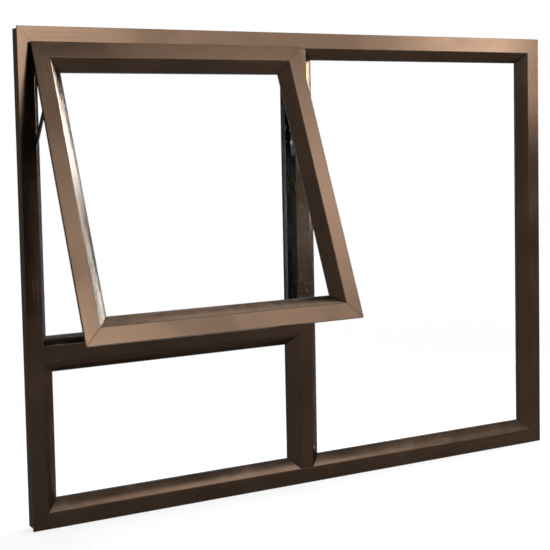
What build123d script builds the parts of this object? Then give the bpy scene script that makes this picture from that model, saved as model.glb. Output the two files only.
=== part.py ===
from build123d import *
import os

# Outward-opening top-hung aluminium window with two fixed lights, sizes in millimetres.
# X runs to the right, Y into the room and Z up. The origin lies on the underside of the sill
# body, at the middle of its length and depth. The outside face looks towards -Y.

# overall sizes
WIDTH = 1190.0
HEIGHT = 890.0
DEPTH = 30.5

# main division, from the left and top edges of the frame's face
MULLION_CENTRE = 574.0
TRANSOM_CENTRE = 575.0

# outer frame section
WALL = 1.6
FACE = 30.0
FLANGE = 3.5
NOSE = 4.0
REAR_LEG = 14.0
BOSS = 6.0
BOSS_FRONT = 24.5
DIVIDER_FACE = 28.0
GROOVE_MOUTH = 2.2
GROOVE_WIDE = 4.0
GROOVE_LIP = 0.8
GROOVE_DEEP = 2.6
LEDGE = 2.0
WEB_DEPTH = 15.0
ARRIS = 0.6

# glazing
BEAD = 20.2
BEAD_NOSE_DEPTH = 16.0
BEAD_BACK = 17.5
BEAD_WALL = 1.2
BEAD_BOW = 0.46
BEAD_SLOPE_WALL = 1.5
BEAD_TOE = 3.0
GLASS_FRONT = 19.5
GLASS = 4.0
GLASS_COVER = 16.0
GASKET_SHOW = 1.4
GASKET_WIDE = 5.0
FIT = 0.3

# sash
LAP = 8.0
SASH_FACE = 30.0
CLEAR = 4.2
SASH_DEPTH = 29.5
SASH_PROUD = 6.0
LIP_RETURN = 3.6
OPEN_ANGLE = 22.3
OPEN_DROP = 5.0
OPEN_OUT = 1.5

# friction stays, measured down from the vent's top face edge
TRACK_WIDE = 13.0
TRACK_DEPTH = 10.3
TRACK_TOP = 20.0
TRACK_WALL = 1.2
TRACK_MOUTH = 6.4
PIVOT_BLOCK = 24.0
TRACK_STOP = 6.0
SHOE_LONG = 34.0
SHOE_PLAY = 0.15
SHOE_RUN = 3.0
ARM_THICK = 2.0
ARM_WIDE = 11.0
ARM_GAP = 0.3
PLATE_THICK = 1.6
PLATE_WIDE = 13.0
PLATE_IN = 14.5
PLATE_FROM = 24.0
PLATE_TO = 142.0
FIXED_PIVOT = 61.0
SHORT_AT = 40.0
LONG_AT = 120.0
LONG_ARM = 85.0
RIVET_R = 3.2

# fastener
HANDLE_PLATE_LONG = 62.0
HANDLE_PLATE_WIDE = 16.0
HANDLE_PLATE_THICK = 3.0
HANDLE_IN = 34.0
HANDLE_BOSS_R = 7.0
HANDLE_BOSS_HIGH = 6.0
LEVER_LONG = 92.0
LEVER_WIDE = 13.0
LEVER_TIP = 4.0
LEVER_THICK = 5.0
LEVER_ROUND = 1.5
NOSE_LONG = 17.0
NOSE_WIDE = 8.0
KEEPER_LONG = 44.0
KEEPER_HIGH = 11.0
KEEPER_THICK = 2.0
STRIKE_LONG = 20.0
STRIKE_HIGH = 4.0
STRIKE_OUT = 7.0
STRIKE_TAPER = 8.0

# places that follow from the sizes above
LEFT = -WIDTH / 2
RIGHT = WIDTH / 2
BOTTOM = -FLANGE
TOP = HEIGHT - FLANGE
FRONT = -DEPTH / 2
BACK = FRONT + DEPTH
MULLION_X = LEFT + MULLION_CENTRE
TRANSOM_Z = TOP - TRANSOM_CENTRE
HALF = DIVIDER_FACE / 2
SASH_BODY = LAP + CLEAR
TUBE_IN = FACE - NOSE

# face edges of the three openings
VENT = (LEFT + FACE, MULLION_X - HALF, TRANSOM_Z + HALF, TOP - FACE)
LOW = (LEFT + FACE, MULLION_X - HALF, BOTTOM + FACE, TRANSOM_Z - HALF)
TALL = (MULLION_X + HALF, RIGHT - FACE, BOTTOM + FACE, TOP - FACE)

# outer edges of the sash when shut, and its place when open
SASH = (VENT[0] - LAP, VENT[1] + LAP, VENT[2] - LAP, VENT[3] + LAP)
SASH_FRONT = FRONT - SASH_PROUD
SHUT_EDGE = Location((0, SASH_FRONT, SASH[3]))
OPEN_EDGE = Location((0, SASH_FRONT - OPEN_OUT, SASH[3] - OPEN_DROP), (-OPEN_ANGLE, 0, 0))
OPEN = OPEN_EDGE * SHUT_EDGE.inverse()
SASH_SIGHT = (
    SASH[0] + SASH_FACE,
    SASH[1] - SASH_FACE,
    SASH[2] + SASH_FACE,
    SASH[3] - SASH_FACE,
)

os.makedirs("parts", exist_ok=True)


def side_plane(side, edges, front):
    """Section plane of one side of a rectangle: local x points into the opening, y into the room."""
    left, right, bottom, top = edges
    if side == "top":
        return Plane(origin=(left, front, top), x_dir=(0, 0, -1), z_dir=(1, 0, 0))
    if side == "bottom":
        return Plane(origin=(right, front, bottom), x_dir=(0, 0, 1), z_dir=(-1, 0, 0))
    if side == "left":
        return Plane(origin=(left, front, bottom), x_dir=(1, 0, 0), z_dir=(0, 0, 1))
    return Plane(origin=(right, front, top), x_dir=(-1, 0, 0), z_dir=(0, 0, -1))


def turned(place, plane):
    """The plane moved and turned as the piece that carries it."""
    return Plane(place * plane.location)


def side_length(side, edges):
    """Length of one side of a rectangle."""
    left, right, bottom, top = edges
    if side in ("top", "bottom"):
        return right - left
    return top - bottom


def bar(from_x, to_x, from_y, to_y, mode=Mode.ADD):
    """A rectangle in the open sketch, between two widths and two depths."""
    with Locations(((from_x + to_x) / 2, (from_y + to_y) / 2)):
        Rectangle(to_x - from_x, to_y - from_y, mode=mode)


def soften_front():
    """Rounds the front corners of the section in the open sketch."""
    fillet(vertices().filter_by_position(Axis.Y, -FIT, FIT), ARRIS)


def gasket_boss(tip, rear):
    """The block at the tip of a rear leg with its undercut gasket groove."""
    middle = tip - BOSS / 2
    bar(tip - BOSS, tip, BOSS_FRONT, rear)
    groove_top = BOSS_FRONT + GROOVE_LIP
    groove_end = BOSS_FRONT + GROOVE_DEEP
    bar(middle - GROOVE_MOUTH / 2, middle + GROOVE_MOUTH / 2, BOSS_FRONT, groove_end, Mode.SUBTRACT)
    bar(middle - GROOVE_WIDE / 2, middle + GROOVE_WIDE / 2, groove_top, groove_end, Mode.SUBTRACT)


def frame_section():
    """Hollow outer frame: front flange, web, nose for the bead, ledge and rear leg."""
    bar(FLANGE, TUBE_IN, 0, DEPTH)
    bar(FLANGE + WALL, TUBE_IN - WALL, WALL, DEPTH - WALL, Mode.SUBTRACT)
    bar(FLANGE, TUBE_IN, WEB_DEPTH, WEB_DEPTH + WALL)
    bar(0, FACE, 0, WALL)
    bar(FACE - WALL, FACE, 0, 2 * WALL)
    bar(TUBE_IN - WALL, TUBE_IN + LEDGE, BEAD_BACK + FIT, BEAD_BACK + FIT + WALL)
    bar(TUBE_IN - WALL, FACE + REAR_LEG, DEPTH - WALL, DEPTH)
    gasket_boss(FACE + REAR_LEG, DEPTH)
    soften_front()


def divider_half(way):
    """One half of the divider section, to the left or right of its middle line."""
    tube = HALF - NOSE
    for_x = [way * (tube + LEDGE), way * (tube - WALL)]
    bar(min(for_x), max(for_x), BEAD_BACK + FIT, BEAD_BACK + FIT + WALL)
    for_x = [way * HALF, way * (HALF - WALL)]
    bar(min(for_x), max(for_x), 0, 2 * WALL)


def divider_section():
    """Hollow divider with noses, ledges and rear legs on both sides."""
    tube = HALF - NOSE
    leg = HALF + REAR_LEG
    bar(-tube, tube, 0, DEPTH)
    bar(WALL - tube, tube - WALL, WALL, DEPTH - WALL, Mode.SUBTRACT)
    bar(-tube, tube, WEB_DEPTH, WEB_DEPTH + WALL)
    bar(-HALF, HALF, 0, WALL)
    bar(-leg, leg, DEPTH - WALL, DEPTH)
    for way in (-1, 1):
        divider_half(way)
        with BuildSketch(mode=Mode.PRIVATE) as boss:
            gasket_boss(leg, DEPTH)
        if way < 0:
            add(mirror(boss.sketch, about=Plane.YZ))
        else:
            add(boss.sketch)
    soften_front()


def sash_section():
    """Hollow sash: outer lip with its return, box, nose for the bead, ledge and rear leg."""
    bar(SASH_BODY, SASH_FACE - NOSE, 0, SASH_DEPTH)
    bar(SASH_BODY + WALL, SASH_FACE - NOSE - WALL, WALL, SASH_DEPTH - WALL, Mode.SUBTRACT)
    bar(0, SASH_FACE, 0, WALL)
    bar(0, WALL, 0, WALL + LIP_RETURN)
    bar(SASH_FACE - WALL, SASH_FACE, 0, 2 * WALL)
    ledge = SASH_FACE - NOSE + LEDGE
    bar(SASH_FACE - NOSE - WALL, ledge, BEAD_BACK + FIT, BEAD_BACK + FIT + WALL)
    bar(SASH_FACE - NOSE - WALL, SASH_FACE + REAR_LEG, SASH_DEPTH - WALL, SASH_DEPTH)
    gasket_boss(SASH_FACE + REAR_LEG, SASH_DEPTH)
    soften_front()


def bead_section():
    """Hollow snap-in glazing bead with a bowed slope, measured from the face edge."""
    with BuildLine() as outside:
        ThreePointArc((FIT, FIT), (BEAD * 0.5, BEAD_NOSE_DEPTH * BEAD_BOW), (BEAD, BEAD_NOSE_DEPTH))
        Polyline(
            (BEAD, BEAD_NOSE_DEPTH),
            (BEAD, BEAD_BACK),
            (FIT, BEAD_BACK),
            (FIT, FIT),
        )
    make_face(outside.edges())
    with BuildLine() as hollow:
        Polyline(
            (FIT + BEAD_WALL, BEAD_WALL * 2),
            (BEAD * 0.5, BEAD_NOSE_DEPTH * BEAD_BOW + BEAD_SLOPE_WALL),
            (BEAD - BEAD_TOE, BEAD_BACK - BEAD_WALL),
            (FIT + BEAD_WALL, BEAD_BACK - BEAD_WALL),
            close=True,
        )
    make_face(hollow.edges(), mode=Mode.SUBTRACT)
    bar(FIT - NOSE, FIT + BEAD_WALL, BEAD_BACK - BEAD_WALL, BEAD_BACK)
    hook = 2 * WALL + FIT
    bar(FIT - WALL, FIT + BEAD_WALL, hook, hook + BEAD_WALL)


def ring(edges, inner, outer, front, back, turn):
    """A flat rectangular ring in the open block, between two insets and two depths."""
    left, right, bottom, top = edges
    middle = ((left + right) / 2, back, (bottom + top) / 2)
    with BuildSketch(turned(turn, Plane(origin=middle, x_dir=(1, 0, 0), z_dir=(0, -1, 0)))) as flat:
        Rectangle(right - left - 2 * outer, top - bottom - 2 * outer)
        Rectangle(right - left - 2 * inner, top - bottom - 2 * inner, mode=Mode.SUBTRACT)
    extrude(flat.sketch, amount=back - front)


def cut_mitres(plane, length):
    """Cuts both ends of the piece in the open block at 45 degrees."""
    split(bisect_by=Plane(origin=plane.origin, z_dir=plane.z_dir - plane.x_dir), keep=Keep.TOP)
    far = plane.origin + plane.z_dir * length
    split(bisect_by=Plane(origin=far, z_dir=(plane.z_dir + plane.x_dir) * -1), keep=Keep.TOP)


def gasket(edges, front, turn):
    """Gasket ring in the open block: stem and foot in the groove, stopped short of the corners, and lip."""
    middle = REAR_LEG - BOSS / 2
    root = front + BOSS_FRONT
    stem = GROOVE_MOUTH / 2 - FIT / 2
    ring(edges, middle + stem, middle - stem, root, root + GROOVE_LIP + FIT, turn)
    foot = GROOVE_WIDE / 2 - FIT
    ring(edges, middle + foot, middle - foot, root + GROOVE_LIP + FIT, root + GROOVE_DEEP - FIT, turn)
    left, right, bottom, top = edges
    centre = ((left + right) / 2, root, (bottom + top) / 2)
    with BuildSketch(turned(turn, Plane(origin=centre, x_dir=(1, 0, 0), z_dir=(0, -1, 0)))) as corners:
        with GridLocations(right - left, top - bottom, 2, 2):
            Rectangle(4 * REAR_LEG, 4 * REAR_LEG)
    extrude(corners.sketch, amount=-GROOVE_DEEP, mode=Mode.SUBTRACT)
    ring(edges, middle + BOSS / 2 - FIT, middle - BOSS / 2, front + GLASS_FRONT + GLASS, root, turn)


def cope(side, edges):
    """Notches the end of a divider round the nose, ledge and rear leg of the member it meets."""
    with BuildSketch(side_plane(side, edges, FRONT)) as notch:
        bar(-FACE, 0, -WALL, 2 * WALL)
        bar(-FACE, LEDGE - NOSE, BEAD_BACK + FIT, BEAD_BACK + FIT + WALL)
        bar(-FACE, REAR_LEG, BOSS_FRONT, DEPTH + WALL)
    extrude(notch.sketch, amount=side_length(side, edges), mode=Mode.SUBTRACT)


HERE = Location((0, 0, 0))
FRAME = (LEFT, RIGHT, BOTTOM, TOP)

# outer frame

plane = turned(HERE, side_plane("top", FRAME, FRONT))
length = side_length("top", FRAME)
with BuildPart() as frame_head:
    with BuildSketch(plane):
        frame_section()
    extrude(amount=length)
    cut_mitres(plane, length)

plane = turned(HERE, side_plane("bottom", FRAME, FRONT))
length = side_length("bottom", FRAME)
with BuildPart() as frame_sill:
    with BuildSketch(plane):
        frame_section()
    extrude(amount=length)
    cut_mitres(plane, length)

plane = turned(HERE, side_plane("left", FRAME, FRONT))
length = side_length("left", FRAME)
with BuildPart() as left_jamb:
    with BuildSketch(plane):
        frame_section()
    extrude(amount=length)
    cut_mitres(plane, length)

plane = turned(HERE, side_plane("right", FRAME, FRONT))
length = side_length("right", FRAME)
with BuildPart() as right_jamb:
    with BuildSketch(plane):
        frame_section()
    extrude(amount=length)
    cut_mitres(plane, length)

# mullion between head and sill, its ends coped round their noses, ledges and rear legs
with BuildPart() as mullion:
    with BuildSketch(Plane(origin=(MULLION_X, FRONT, BOTTOM + TUBE_IN), x_dir=(1, 0, 0), z_dir=(0, 0, 1))):
        divider_section()
    extrude(amount=HEIGHT - 2 * TUBE_IN)
    cope("bottom", (LEFT, RIGHT, BOTTOM + FACE, TOP - FACE))
    cope("top", (LEFT, RIGHT, BOTTOM + FACE, TOP - FACE))

# transom between left jamb and mullion, coped in the same way
with BuildPart() as transom:
    with BuildSketch(Plane(origin=(VENT[0] - NOSE, FRONT, TRANSOM_Z), x_dir=(0, 0, -1), z_dir=(1, 0, 0))):
        divider_section()
    extrude(amount=VENT[1] - VENT[0] + 2 * NOSE)
    cope("left", (VENT[0], VENT[1], BOTTOM, TOP))
    cope("right", (VENT[0], VENT[1], BOTTOM, TOP))

# sash

plane = turned(OPEN, side_plane("top", SASH, SASH_FRONT))
length = side_length("top", SASH)
with BuildPart() as sash_top_rail:
    with BuildSketch(plane):
        sash_section()
    extrude(amount=length)
    cut_mitres(plane, length)

plane = turned(OPEN, side_plane("bottom", SASH, SASH_FRONT))
length = side_length("bottom", SASH)
with BuildPart() as sash_bottom_rail:
    with BuildSketch(plane):
        sash_section()
    extrude(amount=length)
    cut_mitres(plane, length)

plane = turned(OPEN, side_plane("left", SASH, SASH_FRONT))
length = side_length("left", SASH)
with BuildPart() as sash_left_stile:
    with BuildSketch(plane):
        sash_section()
    extrude(amount=length)
    cut_mitres(plane, length)

plane = turned(OPEN, side_plane("right", SASH, SASH_FRONT))
length = side_length("right", SASH)
with BuildPart() as sash_right_stile:
    with BuildSketch(plane):
        sash_section()
    extrude(amount=length)
    cut_mitres(plane, length)

# glazing of the tall light: beads, glass, gaskets

plane = turned(HERE, side_plane("top", TALL, FRONT))
length = side_length("top", TALL)
with BuildPart() as tall_bead_top:
    with BuildSketch(plane):
        bead_section()
    extrude(amount=length)
    cut_mitres(plane, length)

plane = turned(HERE, side_plane("bottom", TALL, FRONT))
length = side_length("bottom", TALL)
with BuildPart() as tall_bead_bottom:
    with BuildSketch(plane):
        bead_section()
    extrude(amount=length)
    cut_mitres(plane, length)

plane = turned(HERE, side_plane("left", TALL, FRONT))
length = side_length("left", TALL)
with BuildPart() as tall_bead_left:
    with BuildSketch(plane):
        bead_section()
    extrude(amount=length)
    cut_mitres(plane, length)

plane = turned(HERE, side_plane("right", TALL, FRONT))
length = side_length("right", TALL)
with BuildPart() as tall_bead_right:
    with BuildSketch(plane):
        bead_section()
    extrude(amount=length)
    cut_mitres(plane, length)

edges = TALL
cover = BEAD - GLASS_COVER
middle = ((edges[0] + edges[1]) / 2, FRONT + GLASS_FRONT + GLASS, (edges[2] + edges[3]) / 2)
with BuildPart() as tall_glass:
    with BuildSketch(turned(HERE, Plane(origin=middle, x_dir=(1, 0, 0), z_dir=(0, -1, 0)))):
        Rectangle(edges[1] - edges[0] - 2 * cover, edges[3] - edges[2] - 2 * cover)
    extrude(amount=GLASS)

with BuildPart() as tall_outer_gasket:
    ring(edges, BEAD + GASKET_SHOW, BEAD - GASKET_WIDE, FRONT + BEAD_BACK, FRONT + GLASS_FRONT, HERE)

with BuildPart() as tall_inner_gasket:
    gasket(edges, FRONT, HERE)

# glazing of the low light: beads, glass, gaskets

plane = turned(HERE, side_plane("top", LOW, FRONT))
length = side_length("top", LOW)
with BuildPart() as low_bead_top:
    with BuildSketch(plane):
        bead_section()
    extrude(amount=length)
    cut_mitres(plane, length)

plane = turned(HERE, side_plane("bottom", LOW, FRONT))
length = side_length("bottom", LOW)
with BuildPart() as low_bead_bottom:
    with BuildSketch(plane):
        bead_section()
    extrude(amount=length)
    cut_mitres(plane, length)

plane = turned(HERE, side_plane("left", LOW, FRONT))
length = side_length("left", LOW)
with BuildPart() as low_bead_left:
    with BuildSketch(plane):
        bead_section()
    extrude(amount=length)
    cut_mitres(plane, length)

plane = turned(HERE, side_plane("right", LOW, FRONT))
length = side_length("right", LOW)
with BuildPart() as low_bead_right:
    with BuildSketch(plane):
        bead_section()
    extrude(amount=length)
    cut_mitres(plane, length)

edges = LOW
cover = BEAD - GLASS_COVER
middle = ((edges[0] + edges[1]) / 2, FRONT + GLASS_FRONT + GLASS, (edges[2] + edges[3]) / 2)
with BuildPart() as low_glass:
    with BuildSketch(turned(HERE, Plane(origin=middle, x_dir=(1, 0, 0), z_dir=(0, -1, 0)))):
        Rectangle(edges[1] - edges[0] - 2 * cover, edges[3] - edges[2] - 2 * cover)
    extrude(amount=GLASS)

with BuildPart() as low_outer_gasket:
    ring(edges, BEAD + GASKET_SHOW, BEAD - GASKET_WIDE, FRONT + BEAD_BACK, FRONT + GLASS_FRONT, HERE)

with BuildPart() as low_inner_gasket:
    gasket(edges, FRONT, HERE)

# glazing of the vent light: beads, glass, gaskets

plane = turned(OPEN, side_plane("top", SASH_SIGHT, SASH_FRONT))
length = side_length("top", SASH_SIGHT)
with BuildPart() as vent_bead_top:
    with BuildSketch(plane):
        bead_section()
    extrude(amount=length)
    cut_mitres(plane, length)

plane = turned(OPEN, side_plane("bottom", SASH_SIGHT, SASH_FRONT))
length = side_length("bottom", SASH_SIGHT)
with BuildPart() as vent_bead_bottom:
    with BuildSketch(plane):
        bead_section()
    extrude(amount=length)
    cut_mitres(plane, length)

plane = turned(OPEN, side_plane("left", SASH_SIGHT, SASH_FRONT))
length = side_length("left", SASH_SIGHT)
with BuildPart() as vent_bead_left:
    with BuildSketch(plane):
        bead_section()
    extrude(amount=length)
    cut_mitres(plane, length)

plane = turned(OPEN, side_plane("right", SASH_SIGHT, SASH_FRONT))
length = side_length("right", SASH_SIGHT)
with BuildPart() as vent_bead_right:
    with BuildSketch(plane):
        bead_section()
    extrude(amount=length)
    cut_mitres(plane, length)

edges = SASH_SIGHT
cover = BEAD - GLASS_COVER
middle = ((edges[0] + edges[1]) / 2, SASH_FRONT + GLASS_FRONT + GLASS, (edges[2] + edges[3]) / 2)
with BuildPart() as vent_glass:
    with BuildSketch(turned(OPEN, Plane(origin=middle, x_dir=(1, 0, 0), z_dir=(0, -1, 0)))):
        Rectangle(edges[1] - edges[0] - 2 * cover, edges[3] - edges[2] - 2 * cover)
    extrude(amount=GLASS)

with BuildPart() as vent_outer_gasket:
    pinch = (SASH_FRONT + BEAD_BACK, SASH_FRONT + GLASS_FRONT)
    ring(edges, BEAD + GASKET_SHOW, BEAD - GASKET_WIDE, pinch[0], pinch[1], OPEN)

with BuildPart() as vent_inner_gasket:
    gasket(edges, SASH_FRONT, OPEN)

# weather seal round the vent
with BuildPart() as weather_seal:
    gasket(VENT, FRONT, HERE)


def sash_point(down, deep):
    """Y and Z of a point of the open sash, from its outer top edge."""
    place = OPEN_EDGE * Location((0, deep, -down))
    return place.position.Y, place.position.Z


def link(plane, start, stop, wide, thick):
    """A flat link with round ends between two points of a plane."""
    with BuildSketch(plane) as flat:
        with BuildLine() as spine:
            Line(start, stop)
        trace(spine.edges(), line_width=wide)
        with Locations(start, stop):
            Circle(wide / 2)
    extrude(flat.sketch, amount=thick)


def rivet(plane, centre, high):
    """A rivet that bridges the gap between two plates."""
    with BuildSketch(plane) as spot:
        with Locations(centre):
            Circle(RIVET_R)
    extrude(spot.sketch, amount=high)


# friction stays: the left one is built at the jamb, the right one is its mirror image
short_y, short_z = sash_point(SHORT_AT, PLATE_IN)
long_y, long_z = sash_point(LONG_AT, PLATE_IN)
track_y = FRONT + TRACK_DEPTH
fixed_z = VENT[3] - FIXED_PIVOT
slide_z = long_z - (LONG_ARM**2 - (track_y - long_y) ** 2) ** 0.5

wall_x = VENT[0] - NOSE
arm_plane = Plane(origin=(VENT[0] + ARM_GAP, 0, 0), x_dir=(0, 1, 0), z_dir=(1, 0, 0))
rivet_plane = arm_plane.offset(ARM_THICK)
plate_x = VENT[0] + CLEAR
plate_z = SASH[3] - (PLATE_FROM + PLATE_TO) / 2
plate_plane = Plane(origin=(plate_x, SASH_FRONT + PLATE_IN, plate_z), x_dir=(0, 1, 0), z_dir=(1, 0, 0))

track_foot = slide_z - SHOE_LONG / 2 - SHOE_RUN - TRACK_STOP
track_long = VENT[3] - TRACK_TOP - track_foot
track_high = NOSE - FIT
with BuildPart() as left_stay_track:
    with BuildSketch(Plane(origin=(wall_x, track_y, track_foot), x_dir=(0, 1, 0), z_dir=(0, 0, 1))):
        with Locations((0, -track_high / 2)):
            Rectangle(TRACK_WIDE, track_high)
        with Locations((0, -track_high / 2)):
            Rectangle(TRACK_WIDE - 2 * TRACK_WALL, track_high - 2 * TRACK_WALL, mode=Mode.SUBTRACT)
        with Locations((0, -track_high + TRACK_WALL / 2)):
            Rectangle(TRACK_MOUTH, TRACK_WALL, mode=Mode.SUBTRACT)
    extrude(amount=track_long)
    with BuildSketch(Plane(origin=(wall_x, 0, 0), x_dir=(0, 1, 0), z_dir=(1, 0, 0))):
        with Locations((track_y, fixed_z)):
            Rectangle(TRACK_MOUTH + TRACK_WALL, PIVOT_BLOCK)
        with Locations((track_y, track_foot + TRACK_STOP / 2)):
            Rectangle(TRACK_MOUTH + TRACK_WALL, TRACK_STOP)
    extrude(amount=track_high)

with BuildPart() as stay_shoes:
    with BuildSketch(Plane(origin=(wall_x + TRACK_WALL, 0, 0), x_dir=(0, 1, 0), z_dir=(1, 0, 0))):
        with Locations((track_y, slide_z)):
            Rectangle(TRACK_MOUTH - 2 * SHOE_PLAY, SHOE_LONG)
    extrude(amount=track_high - TRACK_WALL)
    mirror(about=Plane(origin=((VENT[0] + VENT[1]) / 2, 0, 0), z_dir=(1, 0, 0)))

with BuildPart() as left_stay_short_arm:
    link(arm_plane, (track_y, fixed_z), (short_y, short_z), ARM_WIDE, ARM_THICK)
    rivet(arm_plane, (track_y, fixed_z), -ARM_GAP - FIT)
    rivet(rivet_plane, (short_y, short_z), CLEAR - PLATE_THICK - ARM_THICK - ARM_GAP)

with BuildPart() as left_stay_long_arm:
    link(arm_plane, (track_y, slide_z), (long_y, long_z), ARM_WIDE, ARM_THICK)
    rivet(arm_plane, (track_y, slide_z), -ARM_GAP - FIT)
    rivet(rivet_plane, (long_y, long_z), CLEAR - PLATE_THICK - ARM_THICK - ARM_GAP)

with BuildPart() as left_stay_plate:
    with BuildSketch(turned(OPEN, plate_plane)):
        Rectangle(PLATE_WIDE, PLATE_TO - PLATE_FROM)
    extrude(amount=-PLATE_THICK)

vent_middle = Plane(origin=((VENT[0] + VENT[1]) / 2, 0, 0), z_dir=(1, 0, 0))
with BuildPart() as right_stay_track:
    add(mirror(left_stay_track.part, about=vent_middle))

with BuildPart() as right_stay_short_arm:
    add(mirror(left_stay_short_arm.part, about=vent_middle))

with BuildPart() as right_stay_long_arm:
    add(mirror(left_stay_long_arm.part, about=vent_middle))

with BuildPart() as right_stay_plate:
    add(mirror(left_stay_plate.part, about=vent_middle))

# fastener on the room side of the bottom rail
vent_x = (VENT[0] + VENT[1]) / 2
rail_back = SASH_FRONT + SASH_DEPTH
handle_z = SASH[2] + HANDLE_IN
handle_plane = turned(OPEN, Plane(origin=(vent_x, rail_back, handle_z), x_dir=(-1, 0, 0), z_dir=(0, 1, 0)))

with BuildPart() as handle_base:
    with BuildSketch(handle_plane):
        SlotOverall(HANDLE_PLATE_LONG, HANDLE_PLATE_WIDE)
    extrude(amount=HANDLE_PLATE_THICK)
    with BuildSketch(handle_plane.offset(HANDLE_PLATE_THICK)):
        Circle(HANDLE_BOSS_R)
    extrude(amount=HANDLE_BOSS_HIGH)

with BuildPart() as handle_lever:
    lever_plane = handle_plane.offset(HANDLE_PLATE_THICK + HANDLE_BOSS_HIGH)
    with BuildSketch(lever_plane):
        with BuildLine() as outline:
            CenterArc((0, 0), LEVER_WIDE / 2, 0, 360)
            CenterArc((LEVER_LONG - LEVER_WIDE, 0), LEVER_TIP, 0, 360)
        make_hull(outline.edges())
        with Locations((-NOSE_LONG / 2, 0)):
            Rectangle(NOSE_LONG, NOSE_WIDE)
    extrude(amount=LEVER_THICK)
    outward = Axis(lever_plane.origin, lever_plane.z_dir)
    fillet(faces().sort_by(outward)[-1].edges(), LEVER_ROUND)

keeper_z = VENT[2] + REAR_LEG - KEEPER_HIGH / 2 - CLEAR
keeper_plane = Plane(origin=(vent_x, BACK, keeper_z), x_dir=(-1, 0, 0), z_dir=(0, 1, 0))
with BuildPart() as keeper:
    with BuildSketch(keeper_plane):
        Rectangle(KEEPER_LONG, KEEPER_HIGH)
        fillet(vertices(), KEEPER_THICK)
    extrude(amount=KEEPER_THICK)
    with BuildSketch(keeper_plane.offset(KEEPER_THICK)):
        with Locations((0, (KEEPER_HIGH - STRIKE_HIGH) / 2)):
            Rectangle(STRIKE_LONG, STRIKE_HIGH)
    extrude(amount=STRIKE_OUT, taper=STRIKE_TAPER)

frame_head.part.label = "frame_head"
export_step(frame_head.part, "parts/frame_head.step")
frame_sill.part.label = "frame_sill"
export_step(frame_sill.part, "parts/frame_sill.step")
left_jamb.part.label = "left_jamb"
export_step(left_jamb.part, "parts/left_jamb.step")
right_jamb.part.label = "right_jamb"
export_step(right_jamb.part, "parts/right_jamb.step")
mullion.part.label = "mullion"
export_step(mullion.part, "parts/mullion.step")
transom.part.label = "transom"
export_step(transom.part, "parts/transom.step")
sash_top_rail.part.label = "sash_top_rail"
export_step(sash_top_rail.part, "parts/sash_top_rail.step")
sash_bottom_rail.part.label = "sash_bottom_rail"
export_step(sash_bottom_rail.part, "parts/sash_bottom_rail.step")
sash_left_stile.part.label = "sash_left_stile"
export_step(sash_left_stile.part, "parts/sash_left_stile.step")
sash_right_stile.part.label = "sash_right_stile"
export_step(sash_right_stile.part, "parts/sash_right_stile.step")
tall_bead_top.part.label = "tall_bead_top"
export_step(tall_bead_top.part, "parts/tall_bead_top.step")
tall_bead_bottom.part.label = "tall_bead_bottom"
export_step(tall_bead_bottom.part, "parts/tall_bead_bottom.step")
tall_bead_left.part.label = "tall_bead_left"
export_step(tall_bead_left.part, "parts/tall_bead_left.step")
tall_bead_right.part.label = "tall_bead_right"
export_step(tall_bead_right.part, "parts/tall_bead_right.step")
tall_glass.part.label = "tall_glass"
export_step(tall_glass.part, "parts/tall_glass.step")
tall_outer_gasket.part.label = "tall_outer_gasket"
export_step(tall_outer_gasket.part, "parts/tall_outer_gasket.step")
tall_inner_gasket.part.label = "tall_inner_gasket"
export_step(tall_inner_gasket.part, "parts/tall_inner_gasket.step")
low_bead_top.part.label = "low_bead_top"
export_step(low_bead_top.part, "parts/low_bead_top.step")
low_bead_bottom.part.label = "low_bead_bottom"
export_step(low_bead_bottom.part, "parts/low_bead_bottom.step")
low_bead_left.part.label = "low_bead_left"
export_step(low_bead_left.part, "parts/low_bead_left.step")
low_bead_right.part.label = "low_bead_right"
export_step(low_bead_right.part, "parts/low_bead_right.step")
low_glass.part.label = "low_glass"
export_step(low_glass.part, "parts/low_glass.step")
low_outer_gasket.part.label = "low_outer_gasket"
export_step(low_outer_gasket.part, "parts/low_outer_gasket.step")
low_inner_gasket.part.label = "low_inner_gasket"
export_step(low_inner_gasket.part, "parts/low_inner_gasket.step")
vent_bead_top.part.label = "vent_bead_top"
export_step(vent_bead_top.part, "parts/vent_bead_top.step")
vent_bead_bottom.part.label = "vent_bead_bottom"
export_step(vent_bead_bottom.part, "parts/vent_bead_bottom.step")
vent_bead_left.part.label = "vent_bead_left"
export_step(vent_bead_left.part, "parts/vent_bead_left.step")
vent_bead_right.part.label = "vent_bead_right"
export_step(vent_bead_right.part, "parts/vent_bead_right.step")
vent_glass.part.label = "vent_glass"
export_step(vent_glass.part, "parts/vent_glass.step")
vent_outer_gasket.part.label = "vent_outer_gasket"
export_step(vent_outer_gasket.part, "parts/vent_outer_gasket.step")
vent_inner_gasket.part.label = "vent_inner_gasket"
export_step(vent_inner_gasket.part, "parts/vent_inner_gasket.step")
weather_seal.part.label = "weather_seal"
export_step(weather_seal.part, "parts/weather_seal.step")
stay_shoes.part.label = "stay_shoes"
export_step(stay_shoes.part, "parts/stay_shoes.step")
left_stay_track.part.label = "left_stay_track"
export_step(left_stay_track.part, "parts/left_stay_track.step")
left_stay_short_arm.part.label = "left_stay_short_arm"
export_step(left_stay_short_arm.part, "parts/left_stay_short_arm.step")
left_stay_long_arm.part.label = "left_stay_long_arm"
export_step(left_stay_long_arm.part, "parts/left_stay_long_arm.step")
left_stay_plate.part.label = "left_stay_plate"
export_step(left_stay_plate.part, "parts/left_stay_plate.step")
right_stay_track.part.label = "right_stay_track"
export_step(right_stay_track.part, "parts/right_stay_track.step")
right_stay_short_arm.part.label = "right_stay_short_arm"
export_step(right_stay_short_arm.part, "parts/right_stay_short_arm.step")
right_stay_long_arm.part.label = "right_stay_long_arm"
export_step(right_stay_long_arm.part, "parts/right_stay_long_arm.step")
right_stay_plate.part.label = "right_stay_plate"
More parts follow.
